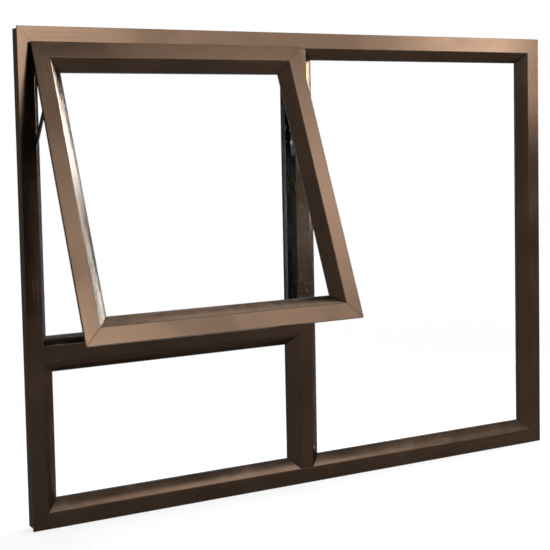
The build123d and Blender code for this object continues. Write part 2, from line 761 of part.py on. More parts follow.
export_step(right_stay_plate.part, "parts/right_stay_plate.step")
handle_base.part.label = "handle_base"
export_step(handle_base.part, "parts/handle_base.step")
handle_lever.part.label = "handle_lever"
export_step(handle_lever.part, "parts/handle_lever.step")
keeper.part.label = "keeper"
export_step(keeper.part, "parts/keeper.step")
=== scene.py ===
# %% [markdown]
# # A bronze aluminium window with an open top-hung sash
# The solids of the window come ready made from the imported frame: extruded members, sash, glazing
# beads, glass, gaskets, friction stays and a fastener. They are already in their places, in
# metres. What is left for this file is the finish of every surface, the small fittings that hold
# the parts together, and a plain studio to show them in.

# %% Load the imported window
import math

import bmesh
import bpy
from mathutils import Matrix, Vector


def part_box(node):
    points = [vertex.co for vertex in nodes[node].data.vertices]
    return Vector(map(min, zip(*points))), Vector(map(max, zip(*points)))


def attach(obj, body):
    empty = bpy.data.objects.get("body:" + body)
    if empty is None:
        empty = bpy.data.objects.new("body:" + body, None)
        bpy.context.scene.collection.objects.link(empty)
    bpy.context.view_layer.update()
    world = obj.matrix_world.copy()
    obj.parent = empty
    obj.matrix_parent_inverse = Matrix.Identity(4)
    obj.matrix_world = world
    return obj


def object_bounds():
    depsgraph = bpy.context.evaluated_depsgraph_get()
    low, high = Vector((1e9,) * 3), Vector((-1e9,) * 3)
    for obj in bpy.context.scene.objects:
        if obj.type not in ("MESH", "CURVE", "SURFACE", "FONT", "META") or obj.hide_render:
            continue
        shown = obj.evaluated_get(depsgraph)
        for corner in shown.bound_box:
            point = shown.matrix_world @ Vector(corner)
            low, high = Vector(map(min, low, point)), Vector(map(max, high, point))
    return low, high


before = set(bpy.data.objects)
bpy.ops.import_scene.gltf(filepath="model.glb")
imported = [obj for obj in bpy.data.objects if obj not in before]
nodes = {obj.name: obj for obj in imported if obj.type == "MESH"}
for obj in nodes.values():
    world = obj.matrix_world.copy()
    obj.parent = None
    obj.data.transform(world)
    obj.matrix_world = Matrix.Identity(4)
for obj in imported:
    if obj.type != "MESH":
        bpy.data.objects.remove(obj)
cad_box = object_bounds()
print("solids:", len(nodes))
print("box:", [[round(v, 4) for v in corner] for corner in cad_box])

# %% [markdown]
# ## The camera
# A photograph's viewpoint can be found from the edges of a rectangle whose real size is known:
# the four long edges of the frame, the mullion and the transom give the place, the turn and the
# focal length. The roll is about one degree, as in a picture taken by hand. The small shift puts
# the middle of the picture where the photograph has it.

# %% Camera
PICTURE = 550.0
FOCAL = 1309.93
MIDDLE = (281.21, 231.67)
SENSOR = 36.0
CAMERA_AT = (-1.38557, -2.19374, 0.68878)
CAMERA_TURN = (85.7889, 1.1269, -31.1927)

lens = bpy.data.cameras.new("camera")
lens.sensor_fit = "HORIZONTAL"
lens.sensor_width = SENSOR
lens.lens = SENSOR * FOCAL / PICTURE
lens.shift_x = (PICTURE / 2 - MIDDLE[0]) / PICTURE
lens.shift_y = (MIDDLE[1] - PICTURE / 2) / PICTURE
camera = bpy.data.objects.new("camera", lens)
camera.location = CAMERA_AT
camera.rotation_euler = [math.radians(a) for a in CAMERA_TURN]
bpy.context.collection.objects.link(camera)
bpy.context.scene.camera = camera
bpy.context.scene.view_settings.view_transform = "Standard"
print("lens", round(lens.lens, 1), "mm, shift", round(lens.shift_x, 4), round(lens.shift_y, 4))

# %% [markdown]
# ## Tools for node trees
# Materials are built from many small nodes. Each could be added and linked line by line, but
# short helpers keep the lines readable: one makes a node with its settings, one feeds a socket
# with a value or a link, one fills several sockets, and the others make a Math node, a Map Range
# node, a colour mix, a noise and a bump.

# %% Node helpers


def add_node(tree, kind, **settings):
    node = tree.nodes.new(kind)
    for key, value in settings.items():
        setattr(node, key, value)
    return node


def feed(tree, socket, value):
    if isinstance(value, bpy.types.NodeSocket):
        tree.links.new(value, socket)
    else:
        socket.default_value = value


def fill(tree, node, values):
    for label, value in values.items():
        feed(tree, node.inputs[label], value)


def math_node(tree, operation, *values, clamp=False):
    node = add_node(tree, "ShaderNodeMath", operation=operation, use_clamp=clamp)
    for index, value in enumerate(values):
        feed(tree, node.inputs[index], value)
    return node.outputs[0]


def map_range(tree, value, low, high, to_low, to_high, smooth=True):
    node = add_node(tree, "ShaderNodeMapRange")
    node.interpolation_type = "SMOOTHSTEP" if smooth else "LINEAR"
    fill(tree, node, {"Value": value, "From Min": low, "From Max": high, "To Min": to_low,
                      "To Max": to_high})
    return node.outputs["Result"]


def mix_colour(tree, factor, first, second):
    node = add_node(tree, "ShaderNodeMix", data_type="RGBA")
    feed(tree, node.inputs["Factor"], factor)
    for socket, value in ((node.inputs["A"], first), (node.inputs["B"], second)):
        feed(tree, socket, (*value, 1.0) if isinstance(value, tuple) else value)
    return node.outputs["Result"]


def noise(tree, vector, scale, detail=2.0, distortion=0.0):
    node = add_node(tree, "ShaderNodeTexNoise")
    fill(tree, node, {"Vector": vector, "Scale": scale, "Detail": detail,
                      "Distortion": distortion})
    return node.outputs["Fac"]


def bumped(tree, height, strength, distance):
    node = add_node(tree, "ShaderNodeBump")
    fill(tree, node, {"Height": height, "Strength": strength, "Distance": distance})
    return node.outputs["Normal"]


# %% [markdown]
# ## The studio: a white surround
# The window stands on a plain floor in front of nothing at all. The world is white for the
# camera, for mirrors and for glass, and much dimmer as a lamp, so that the background can be pure
# white without washing out the window. Light Path tells the world which kind of ray is asking.

# %% World
WORLD_LAMP = 0.4
WHITE = (1.0, 1.0, 1.0)


def seen_directly(tree):
    rays = add_node(tree, "ShaderNodeLightPath").outputs
    pair = math_node(tree, "MAXIMUM", rays["Is Camera Ray"], rays["Is Glossy Ray"])
    return math_node(tree, "MAXIMUM", pair, rays["Is Transmission Ray"])


world = bpy.data.worlds.new("white_surround")
bpy.context.scene.world = world
world.use_nodes = True
web = world.node_tree
level = map_range(web, seen_directly(web), 0.0, 1.0, WORLD_LAMP, 1.0, smooth=False)
fill(web, web.nodes["Background"], {"Color": (*WHITE, 1.0), "Strength": level})
print("the world is white to look at, and a lamp of strength", WORLD_LAMP)

# %% [markdown]
# ## The studio: the floor
# A large flat sheet in a pale matt colour takes the window's shadow. To the camera, to mirrors
# and through glass it is mostly white, and only part of it is the real lit sheet, so the shadow
# stays while the sheet joins the white surround. Further out it turns wholly white, which hides
# the horizon.

# %% Floor sheet
FLOOR_SIDE = 16.0

floor_mesh = bmesh.new()
bmesh.ops.create_grid(floor_mesh, x_segments=1, y_segments=1, size=FLOOR_SIDE / 2)
bmesh.ops.translate(floor_mesh, verts=floor_mesh.verts, vec=(0, 0, cad_box[0][2]))
floor_data = bpy.data.meshes.new("floor")
floor_mesh.to_mesh(floor_data)
floor_mesh.free()
floor = bpy.data.objects.new("floor", floor_data)
bpy.context.collection.objects.link(floor)
print("floor", FLOOR_SIDE, "m wide at height", round(cad_box[0][2], 4))

# %% [markdown]
# ## The studio: the floor's finish
# The lit sheet and the white are two shaders, and a Mix Shader blends them. Its factor is the
# share of white for the ray that asks, and that share grows with the distance from the window.

# %% Floor finish
FLOOR_PAINT = (0.5, 0.5, 0.5)
FLOOR_ROUGH = 0.9
FLOOR_SHINE = 0.1
FLOOR_WHITE = 0.75
FADE_FROM, FADE_TO = 0.8, 2.6


def new_material(name):
    finish = bpy.data.materials.new(name)
    finish.use_nodes = True
    tree = finish.node_tree
    return finish, tree, tree.nodes["Principled BSDF"]


def own_place(tree):
    return add_node(tree, "ShaderNodeTexCoord").outputs["Object"]


pale, sheet, paint = new_material("pale_floor")
fill(sheet, paint, {"Base Color": (*FLOOR_PAINT, 1.0), "Roughness": FLOOR_ROUGH,
                    "Specular IOR Level": FLOOR_SHINE})
away = add_node(sheet, "ShaderNodeVectorMath", operation="LENGTH")
feed(sheet, away.inputs[0], own_place(sheet))
whiteness = map_range(sheet, away.outputs["Value"], FADE_FROM, FADE_TO, FLOOR_WHITE, 1.0)
share = math_node(sheet, "MULTIPLY", seen_directly(sheet), whiteness)
blend = add_node(sheet, "ShaderNodeMixShader")
feed(sheet, blend.inputs[0], share)
feed(sheet, blend.inputs[1], paint.outputs[0])
feed(sheet, blend.inputs[2], add_node(sheet, "ShaderNodeEmission").outputs[0])
feed(sheet, sheet.nodes["Material Output"].inputs["Surface"], blend.outputs[0])
floor_data.materials.append(pale)
print("floor white from", FADE_TO, "m outwards")

# %% [markdown]
# ## The studio: soft lamps
# Anodised aluminium is a mirror with a satin skin, so its light and dark are those of the things
# around it. Walls of soft light stand in front of the window and to its right: the head, the tops
# of the jambs and the tilted sash show them, and the lower members show the floor instead. Two
# brighter strips make the light places at both ends of the head. A narrow warm lamp beyond the
# right end gives the sash's left bead its thin line of light. A lamp above and a wide one behind
# light the slopes that look up and the room side. A lamp's power follows from its brightness and
# its area, so that a wall and a strip can be compared.

# %% Lamps
FRONT_LAMPS = {
    "front_wall": ((1.65, -2.8, 2.1), (3.3, 2.7), 8.1),
    "left_strip": ((0.45, -2.75, 1.55), (0.7, 1.5), 15.8),
    "right_strip": ((2.7, -2.75, 1.25), (0.6, 0.9), 30.0),
    "high_wall": ((2.3, -2.78, 3.3), (1.8, 1.6), 9.6),
}
WARM = (1.0, 0.95, 0.88)


def soft_lamp(name, at, towards, size, radiance, spread=180.0, tint=WHITE):
    data = bpy.data.lights.new(name, "AREA")
    data.shape = "RECTANGLE"
    data.size, data.size_y = size
    data.energy = radiance * math.pi * size[0] * size[1]
    data.spread = math.radians(spread)
    data.color = tint
    lamp = bpy.data.objects.new(name, data)
    lamp.location = at
    aim = Vector(towards) - Vector(at)
    lamp.rotation_euler = aim.to_track_quat("-Z", "Y").to_euler()
    lamp.visible_camera = False
    bpy.context.collection.objects.link(lamp)
    print(name, "watts", round(data.energy))


for name, (at, size, radiance) in FRONT_LAMPS.items():
    soft_lamp(name, at, (at[0], 0.0, at[2]), size, radiance)
soft_lamp("side_lamp", at=(2.6, 0.52, 1.3), towards=(-0.5, -0.1, 0.75), size=(0.65, 1.9),
          radiance=19.0, spread=38.0, tint=WARM)
soft_lamp("top_lamp", at=(1.0, 0.65, 2.6), towards=(-0.3, -0.2, 0.4), size=(1.3, 1.1),
          radiance=2.8, spread=110.0)
soft_lamp("back_wall", at=(0.0, 2.8, 1.9), towards=(0.0, 0.7, 0.0), size=(3.0, 1.2),
          radiance=4.5, spread=130.0)

# %% [markdown]
# ## Which node is what
# Each solid is a node with a plain name. A finish could be given to the nodes one by one, but
# words in their names sort them by kind, and the sum shows that none is left over.

# %% Sort the nodes by kind


def named(*words):
    return [n for n in sorted(nodes) if any(word in n for word in words)]


glass_nodes = named("_glass")
rubber_nodes = named("gasket", "seal")
steel_nodes = named("stay", "keeper")
handle_nodes = named("handle")
bead_nodes = named("_bead_")
sash_nodes = [n for n in named("sash_") if n not in rubber_nodes]
fixed_nodes = named("frame_", "_jamb", "mullion", "transom")
kinds = (glass_nodes, rubber_nodes, steel_nodes, handle_nodes, bead_nodes, sash_nodes,
         fixed_nodes)
print("sorted:", sum(len(kind) for kind in kinds), "of", len(nodes))

# %% [markdown]
# ## Tools for node groups
# An effect that several finishes share is a node group with named inputs and outputs. One helper
# makes an empty group with its sockets, and the other places a group in a material and feeds it.

# %% Group helpers
FLOAT = "NodeSocketFloat"
VECTOR = "NodeSocketVector"


def new_group(name, inputs, outputs):
    tree = bpy.data.node_groups.new(name, "ShaderNodeTree")
    for label, kind, start in inputs:
        socket = tree.interface.new_socket(label, in_out="INPUT", socket_type=kind)
        if start is not None:
            socket.default_value = start
    for label, kind in outputs:
        tree.interface.new_socket(label, in_out="OUTPUT", socket_type=kind)
    given, made = tree.nodes.new("NodeGroupInput"), tree.nodes.new("NodeGroupOutput")
    return tree, given.outputs, made.inputs


def place_group(tree, group, **values):
    node = add_node(tree, "ShaderNodeGroup", node_tree=group)
    fill(tree, node, {label.replace("_", " "): value for label, value in values.items()})
    return node.outputs


# %% [markdown]
# ## Die lines
# An extrusion is pushed through a steel die, which leaves very fine lines along the bar, and the
# anodising bath adds a faint cloudiness. The lines are noise stretched nearly a hundredfold along
# the bar: the caller stretches the coordinates, and the group returns a height for the bump, a
# change of roughness, and a change of tone.

# %% Group: die lines
FINE_SCALE, FINE_SHARE = 900.0, 0.6
BROAD_SCALE, BROAD_SHARE = 160.0, 0.4
CLOUD_SCALE, CLOUD_DETAIL, CLOUD_BEND = 7.0, 4.0, 0.6
NOISE_LOW, NOISE_HIGH = 0.3, 0.7
LINE_ROUGH, CLOUD_ROUGH = 0.035, 0.05
LINE_TONE, CLOUD_TONE = 0.05, 0.10

die_lines, given, made = new_group(
    "die_lines", [("Along", VECTOR, None), ("Place", VECTOR, None)],
    [("Height", FLOAT), ("Roughness", FLOAT), ("Tone", FLOAT)])
fine = noise(die_lines, given["Along"], FINE_SCALE)
broad = noise(die_lines, given["Along"], BROAD_SCALE, detail=3.0)
cloud = noise(die_lines, given["Place"], CLOUD_SCALE, CLOUD_DETAIL, CLOUD_BEND)
lines = math_node(die_lines, "ADD", math_node(die_lines, "MULTIPLY", fine, FINE_SHARE),
                  math_node(die_lines, "MULTIPLY", broad, BROAD_SHARE))


def swing(line_part, cloud_part):
    parts = [map_range(die_lines, value, NOISE_LOW, NOISE_HIGH, -part, part)
             for value, part in ((lines, line_part), (cloud, cloud_part))]
    return math_node(die_lines, "ADD", *parts)


feed(die_lines, made["Height"], lines)
feed(die_lines, made["Roughness"], swing(LINE_ROUGH, CLOUD_ROUGH))
feed(die_lines, made["Tone"], swing(LINE_TONE, CLOUD_TONE))
print("group", die_lines.name, len(die_lines.nodes), "nodes")

# %% [markdown]
# ## Mitred corners
# Where two bars of a frame are cut at 45 degrees and joined, a hairline stays dark. It could be a
# real groove, but it is thinner than a millimetre, so a mask is enough. The line is where a point
# is as far in from the side of the rectangle as it is from its top or bottom. The group takes the
# rectangle's centre and half sizes, and how strong the line is in the upper and lower corners.

# %% Group: mitre joints
JOINT_WIDTH = 0.0006

mitre, given, made = new_group(
    "mitre_joints",
    [("Place", VECTOR, None), ("Centre X", FLOAT, 0.0), ("Centre Z", FLOAT, 0.0),
     ("Half Width", FLOAT, 0.5), ("Half Height", FLOAT, 0.5), ("Line", FLOAT, JOINT_WIDTH),
     ("Upper", FLOAT, 0.15), ("Lower", FLOAT, 0.6)],
    [("Joint", FLOAT)])
place = add_node(mitre, "ShaderNodeSeparateXYZ")
feed(mitre, place.inputs[0], given["Place"])


def inset(axis, centre, half):
    off = math_node(mitre, "SUBTRACT", place.outputs[axis], given[centre])
    return math_node(mitre, "SUBTRACT", given[half], math_node(mitre, "ABSOLUTE", off))


apart = math_node(mitre, "SUBTRACT", inset("X", "Centre X", "Half Width"),
                  inset("Z", "Centre Z", "Half Height"))
apart = math_node(mitre, "ABSOLUTE", apart)
wide = math_node(mitre, "MULTIPLY", given["Line"], 2.0)
joint = map_range(mitre, apart, given["Line"], wide, 1.0, 0.0)
above = math_node(mitre, "GREATER_THAN", place.outputs["Z"], given["Centre Z"])
show = map_range(mitre, above, 0.0, 1.0, given["Lower"], given["Upper"])
feed(mitre, made["Joint"], math_node(mitre, "MULTIPLY", joint, show))
print("group", mitre.name, len(mitre.nodes), "nodes")

# %% [markdown]
# ## Rounded and rubbed edges
# No extruded edge is perfectly sharp: it has a radius of a few tenths of a millimetre that
# catches a fine line of light, and handling rubs it a little paler. The Bevel node rounds the
# normals near an edge while the mesh stays as it is, and how far it bends the normal away from
# the flat face says where the edges are.

# %% Group: soft edges
EDGE_RADIUS = 0.0006
EDGE_SAMPLES = 4
EDGE_BENT, EDGE_FLAT = 0.7, 0.98

soft_edges, given, made = new_group(
    "soft_edges", [("Radius", FLOAT, EDGE_RADIUS), ("Normal", VECTOR, None)],
    [("Normal", VECTOR), ("Edge", FLOAT)])
round_off = add_node(soft_edges, "ShaderNodeBevel", samples=EDGE_SAMPLES)
fill(soft_edges, round_off, {"Radius": given["Radius"], "Normal": given["Normal"]})
flat = add_node(soft_edges, "ShaderNodeNewGeometry")
agree = add_node(soft_edges, "ShaderNodeVectorMath", operation="DOT_PRODUCT")
feed(soft_edges, agree.inputs[0], round_off.outputs["Normal"])
feed(soft_edges, agree.inputs[1], flat.outputs["True Normal"])
edge = map_range(soft_edges, agree.outputs["Value"], EDGE_BENT, EDGE_FLAT, 1.0, 0.0)
feed(soft_edges, made["Normal"], round_off.outputs["Normal"])
feed(soft_edges, made["Edge"], edge)
print("group", soft_edges.name, len(soft_edges.nodes), "nodes")

# %% [markdown]
# ## Dust
# A little pale dust settles on the faces that look up, more in some places than in others. The
# mask is the upward part of the face's normal times a patchy noise.

# %% Group: settled dust
LEVEL_FROM, LEVEL_TO = 0.3, 0.95
PATCH_SCALE, PATCH_DETAIL = 35.0, 6.0
PATCH_FROM, PATCH_TO, PATCH_LEAST = 0.35, 0.75, 0.2

dust, given, made = new_group(
    "settled_dust", [("Place", VECTOR, None), ("Amount", FLOAT, 0.3)], [("Dust", FLOAT)])
facing = add_node(dust, "ShaderNodeNewGeometry")
upward = add_node(dust, "ShaderNodeSeparateXYZ")
feed(dust, upward.inputs[0], facing.outputs["True Normal"])
up = map_range(dust, upward.outputs["Z"], LEVEL_FROM, LEVEL_TO, 0.0, 1.0)
patches = noise(dust, given["Place"], PATCH_SCALE, PATCH_DETAIL)
patchy = map_range(dust, patches, PATCH_FROM, PATCH_TO, PATCH_LEAST, 1.0)
layer = math_node(dust, "MULTIPLY", math_node(dust, "MULTIPLY", up, patchy), given["Amount"],
                  clamp=True)
feed(dust, made["Dust"], layer)
print("group", dust.name, len(dust.nodes), "nodes")

# %% [markdown]
# ## The grain of a bar
# Rolled and drawn metal is striped along its length. The coordinates are squeezed in that one
# direction before they reach the die lines, which draws the noise out into stripes, and the tone
# that comes back is turned into a factor between a darker and a lighter colour.

# %% Grain helpers
STRETCH = 0.012
TONE_REACH = 0.1


def grained(tree, spot, along):
    pull = add_node(tree, "ShaderNodeMapping")
    squeeze = [STRETCH if axis == along else 1.0 for axis in "XYZ"]
    fill(tree, pull, {"Vector": spot, "Scale": squeeze})
    return place_group(tree, die_lines, Along=pull.outputs["Vector"], Place=spot)


def toned(tree, grain, dark, light):
    factor = map_range(tree, grain["Tone"], -TONE_REACH, TONE_REACH, 0.0, 1.0, smooth=False)
    return mix_colour(tree, factor, dark, light)


# %% [markdown]
# ## Bronze anodised aluminium
# The finish of the frame, the sash and the beads is a metal with a dark brown, satin skin. It
# could be a brown paint with a coat, but only a metal tints what it mirrors, so the shader is
# mostly metallic, with a little of the skin's own matt colour. Die lines run along the bar, so
# each direction of bar has its own material, made by one function. The open sash is tilted, and
# a Mapping node turns its coordinates back upright, with the hinge as their origin.

# %% Bronze tones
BRONZE = (0.0275, 0.0176, 0.0118)
BRONZE_METAL = 0.85
BRONZE_GRAZING = (0.50, 0.50, 0.50)
BRONZE_PALE = (0.20, 0.145, 0.105)
BRONZE_ROUGH = 0.21
BRONZE_WEAR = 0.12
BRONZE_DUST = 0.12
TONE_DARK, TONE_LIGHT = 0.9, 1.12
DIE_STRENGTH, DIE_DEPTH = 0.12, 0.0002
DUST_TINT = (0.16, 0.13, 0.105)
DUST_ROUGH = 0.4
JOINT_DARK = (0.004, 0.003, 0.002)
LACQUER_ROUGH = 0.18
OPEN_ANGLE = math.radians(22.3)
HINGE_EDGE = (0.0, -0.02275, 0.8595)
print("a bright face of the bronze:", [round(TONE_LIGHT * c, 4) for c in BRONZE])

# %% [markdown]
# ## The bronze material
# The base colour starts as the grain's two tones, both scaled by a factor that is painted light
# where it is above 1. Rubbed edges, dust and the dark joints are then mixed over it, each with its
# own mask, and dust also makes the skin duller. A clear lacquer is a coat whose shine stays
# untinted.

# %% Material: bronze


def bronze_skin(tree, grain, edge, dirt, joint, painted_light):
    # A factor above 1 lightens both tones: painted light, a lit copy of the same bronze.
    skin = toned(tree, grain, tuple(TONE_DARK * painted_light * c for c in BRONZE),
                 tuple(TONE_LIGHT * painted_light * c for c in BRONZE))
    rubbed = math_node(tree, "MULTIPLY", edge, BRONZE_WEAR)
    for mask, tint in ((rubbed, BRONZE_PALE), (dirt, DUST_TINT), (joint, JOINT_DARK)):
        skin = mix_colour(tree, mask, skin, tint)
    return skin


def bronze(name, along, ring, seams, tilted, coat=0.0, painted_light=1.0):
    finish, tree, shader = new_material(name)
    spot = own_place(tree)
    if tilted:
        back = add_node(tree, "ShaderNodeMapping", vector_type="TEXTURE")
        fill(tree, back, {"Vector": spot, "Location": HINGE_EDGE,
                          "Rotation": (-OPEN_ANGLE, 0.0, 0.0)})
        spot = back.outputs["Vector"]
    grain = grained(tree, spot, along)
    joints = place_group(tree, mitre, Place=spot, Centre_X=ring[0], Centre_Z=ring[1],
                         Half_Width=ring[2], Half_Height=ring[3], Upper=seams[0],
                         Lower=seams[1])
    normal = bumped(tree, grain["Height"], DIE_STRENGTH, DIE_DEPTH)
    edges = place_group(tree, soft_edges, Normal=normal)
    dirt = place_group(tree, dust, Place=spot, Amount=BRONZE_DUST)["Dust"]
    dull = math_node(tree, "ADD", grain["Roughness"], BRONZE_ROUGH)
    dull = math_node(tree, "ADD", dull, math_node(tree, "MULTIPLY", dirt, DUST_ROUGH), clamp=True)
    fill(tree, shader, {
        "Base Color": bronze_skin(tree, grain, edges["Edge"], dirt, joints["Joint"], painted_light),
        "Metallic": BRONZE_METAL, "Roughness": dull, "Normal": edges["Normal"],
        "Specular IOR Level": 0.0, "Specular Tint": (*BRONZE_GRAZING, 1.0),
        "Coat Weight": coat, "Coat Roughness": LACQUER_ROUGH})
    return finish


# %% [markdown]
# ## Where the joints lie
# Each rectangle of bars has its own corners. Those of the frame and of the fixed beads are read
# from the nodes' boxes, so they follow the window if it is resized. The open sash's box is
# tilted, so its four sides are given as they lie when it is shut, and its centre is measured from
# the hinge, as its coordinates are.

# %% Rectangles of bars
SASH_LEFT, SASH_RIGHT = -0.573, -0.027
SASH_LOW, SASH_HIGH = 0.3175, 0.8645


def rectangle(*names):
    boxes = [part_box(n) for n in names]
    low = [min(box[0][i] for box in boxes) for i in range(3)]
    high = [max(box[1][i] for box in boxes) for i in range(3)]
    return ((low[0] + high[0]) / 2, (low[2] + high[2]) / 2,
            (high[0] - low[0]) / 2, (high[2] - low[2]) / 2)


frame_ring = rectangle("frame_head", "frame_sill", "left_jamb", "right_jamb")
tall_ring = rectangle(*named("tall_bead"))
low_ring = rectangle(*named("low_bead"))
sash_ring = ((SASH_LEFT + SASH_RIGHT) / 2, (SASH_LOW - SASH_HIGH) / 2,
             (SASH_RIGHT - SASH_LEFT) / 2, (SASH_HIGH - SASH_LOW) / 2)
for label, ring in (("frame", frame_ring), ("tall", tall_ring), ("low", low_ring),
                    ("sash", sash_ring)):
    print(label, "ring", [round(v, 4) for v in ring])

# %% [markdown]
# ## Giving the bronze to the bars
# Level bars have their grain along X and upright bars along Z. Each kind of rectangle says where
# its corners are, how dark its joints are in the upper and the lower corners, and whether it
# hangs with the sash. The upright beads are given a lighter copy of the bronze, which is painted
# light: a lighter base colour standing in for the brighter light on them. The sash's left bead
# faces the lamp at the side and shows a thin line of light, so it has a clear lacquer over its
# bronze.

# %% Dress the bars
# Upright beads' base colour is lightened by this factor: painted light for the brighter light they
# catch.
UPRIGHT_BEAD_PAINTED_LIGHT = 1.1
LACQUER = 0.6
RINGS = {
    "frame": (frame_ring, (0.1, 0.35), False),
    "tall": (tall_ring, (0.5, 0.5), False),
    "low": (low_ring, (0.5, 0.5), False),
    "vent": (sash_ring, (0.3, 0.5), True),
    "sash": (sash_ring, (0.2, 0.85), True),
}
LEVEL_WORDS = ("head", "sill", "transom", "rail", "top", "bottom")


def dress(names, material):
    for name in names:
        mesh = nodes[name].data
        mesh.materials.clear()
        mesh.materials.append(material)
    print(material.name, "on", len(names), "nodes")


bars = {}
for name in fixed_nodes + sash_nodes + bead_nodes:
    part = name.split("_")[0]
    way = "level" if any(word in name for word in LEVEL_WORDS) else "upright"
    bars.setdefault((part if part in RINGS else "frame", way), []).append(name)
bars["sash", "level"] += handle_nodes
for part, way in sorted(bars):
    # Upright beads get the lighter bronze, which is painted light.
    bead = way == "upright" and part in ("tall", "low", "vent")
    finish = bronze(f"bronze_{part}_{way}", "X" if way == "level" else "Z", *RINGS[part],
                    painted_light=UPRIGHT_BEAD_PAINTED_LIGHT if bead else 1.0)
    dress(bars[part, way], finish)
dress(["vent_bead_left"], bronze("bronze_lacquered", "Z", *RINGS["vent"], coat=LACQUER))

# %% [markdown]
# ## Clear glass
# Four millimetre float glass is almost invisible from the front and faintly green at its edges.
# A thin film of dirt changes its tint a little from place to place. A transmitting shader does
# this. Its index is set lower than that of real glass, as if the pane were coated against
# reflections, because in the photograph the panes show none at all.

# %% Material: glass
GLASS_INDEX = 1.03
GLASS_CLEAN = (0.995, 1.0, 0.998)
GLASS_FILM = (0.988, 0.994, 0.991)
FILM_SCALE, FILM_DETAIL = 14.0, 5.0
FILM_FROM, FILM_TO = 0.4, 0.8


def clear_glass():
    finish, tree, shader = new_material("clear_glass")
    film = noise(tree, own_place(tree), FILM_SCALE, FILM_DETAIL)
    haze = map_range(tree, film, FILM_FROM, FILM_TO, 0.0, 1.0)
    fill(tree, shader, {
        "Base Color": mix_colour(tree, haze, GLASS_CLEAN, GLASS_FILM),
        "Transmission Weight": 1.0, "IOR": GLASS_INDEX, "Roughness": 0.0})
    return finish


dress(glass_nodes, clear_glass())

# %% [markdown]
# ## Black rubber
# The gaskets and the weather seal are matt black rubber, a little grey where they have weathered.
# Rubber shines much less than plastic, so the shader's reflection is turned down, and a fine
# mottle breaks up its tone, its roughness and its surface.

# %% Material: rubber
RUBBER_DARK = (0.010, 0.010, 0.011)
RUBBER_GREY = (0.028, 0.027, 0.026)
RUBBER_SHINE = 0.16
RUBBER_DUST = 0.5
RUBBER_SMOOTH, RUBBER_ROUGH = 0.5, 0.75
MOTTLE_SCALE = 300.0
MOTTLE_STRENGTH, MOTTLE_DEPTH = 0.2, 0.0001


def black_rubber():
    finish, tree, shader = new_material("black_rubber")
    spot = own_place(tree)
    mottle = noise(tree, spot, MOTTLE_SCALE)
    dirt = place_group(tree, dust, Place=spot, Amount=RUBBER_DUST)["Dust"]
    skin = mix_colour(tree, mottle, RUBBER_DARK, RUBBER_GREY)
    fill(tree, shader, {
        "Base Color": mix_colour(tree, dirt, skin, DUST_TINT),
        "Roughness": map_range(tree, mottle, NOISE_LOW, NOISE_HIGH, RUBBER_SMOOTH, RUBBER_ROUGH),
        "Specular IOR Level": RUBBER_SHINE,
        "Normal": bumped(tree, mottle, MOTTLE_STRENGTH, MOTTLE_DEPTH)})
    return finish


dress(rubber_nodes, black_rubber())

# %% [markdown]
# ## Stainless steel
# The friction stays and the keeper are pressed from brushed stainless strip, drawn in a dark
# colour, and the screws and rivets are of a brighter kind. The brushing is the same kind of
# stretched noise as the die lines, so the same group makes it, along the strip.

# %% Material: stainless
STEEL_ROUGH = 0.3
STEEL_EDGE = 0.0004
BRUSH_STRENGTH, BRUSH_DEPTH = 0.25, 0.0002
STRIP_DARK, STRIP_LIGHT = (0.09, 0.088, 0.085), (0.16, 0.155, 0.15)
SCREW_DARK, SCREW_LIGHT = (0.42, 0.41, 0.39), (0.62, 0.61, 0.59)


def stainless(name, along, dark, light):
    finish, tree, shader = new_material(name)
    grain = grained(tree, own_place(tree), along)
    normal = bumped(tree, grain["Height"], BRUSH_STRENGTH, BRUSH_DEPTH)
    edges = place_group(tree, soft_edges, Radius=STEEL_EDGE, Normal=normal)
    fill(tree, shader, {
        "Base Color": toned(tree, grain, dark, light), "Metallic": 1.0,
        "Roughness": math_node(tree, "ADD", grain["Roughness"], STEEL_ROUGH),
        "Normal": edges["Normal"]})
    return finish


dress(steel_nodes, stainless("brushed_stainless", "Z", STRIP_DARK, STRIP_LIGHT))
bright_steel = stainless("bright_stainless", "Y", SCREW_DARK, SCREW_LIGHT)

# %% [markdown]
# ## Small fittings: how they are placed
# Screws and rivets are too small for the construction model, so they are added here. Each could
# be an object of its own, but one head is modelled once, standing on its own origin and looking
# along Z, and copies of it are turned and moved into one mesh. The object itself stays at the
# origin, as every piece must.

# %% Helpers for small pieces
BODY = "root"


def mesh_from(name, shape):
    bmesh.ops.recalc_face_normals(shape, faces=shape.faces)
    data = bpy.data.meshes.new(name)
    shape.to_mesh(data)
    shape.free()
    return data


def looking(at, along, spin=0.0):
    turn = Vector(along).to_track_quat("Z", "Y").to_matrix().to_4x4()
    return Matrix.Translation(at) @ turn @ Matrix.Rotation(spin, 4, "Z")


def gathered(name, template, places):
    shape = bmesh.new()
    for place in places:
        before = len(shape.verts)
        shape.from_mesh(template)
        shape.verts.ensure_lookup_table()
        bmesh.ops.transform(shape, matrix=place, verts=shape.verts[before:])
    return mesh_from(name, shape)


def finished(name, data, material):
    data.materials.clear()
    data.materials.append(material)
    piece = bpy.data.objects.new(name, data)
    bpy.context.collection.objects.link(piece)
    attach(piece, BODY)
    print(name, len(data.polygons), "faces")


def heads(name, template, places):
    finished(name, gathered(name, template, places), bright_steel)


# %% [markdown]
# ## Small fittings: a screw head with a cross recess
# A screw head is a low disc whose upper edge is rounded until it is a dome: a cone with equal
# ends, and a bevel on the upper rim. The recess is a cross of two tapered bars taken out of it by
# a Boolean modifier, whose result is read back as a plain mesh.

# %% Dome and cross
DOME_SIDES, CROWN_STEPS = 28, 5
RIM_ABOVE = 0.9
CROSS_LONG, CROSS_WIDE = 1.1, 0.24
CROSS_TAPER = (0.45, 0.6, 1.0)
CROSS_LIFT = 0.85


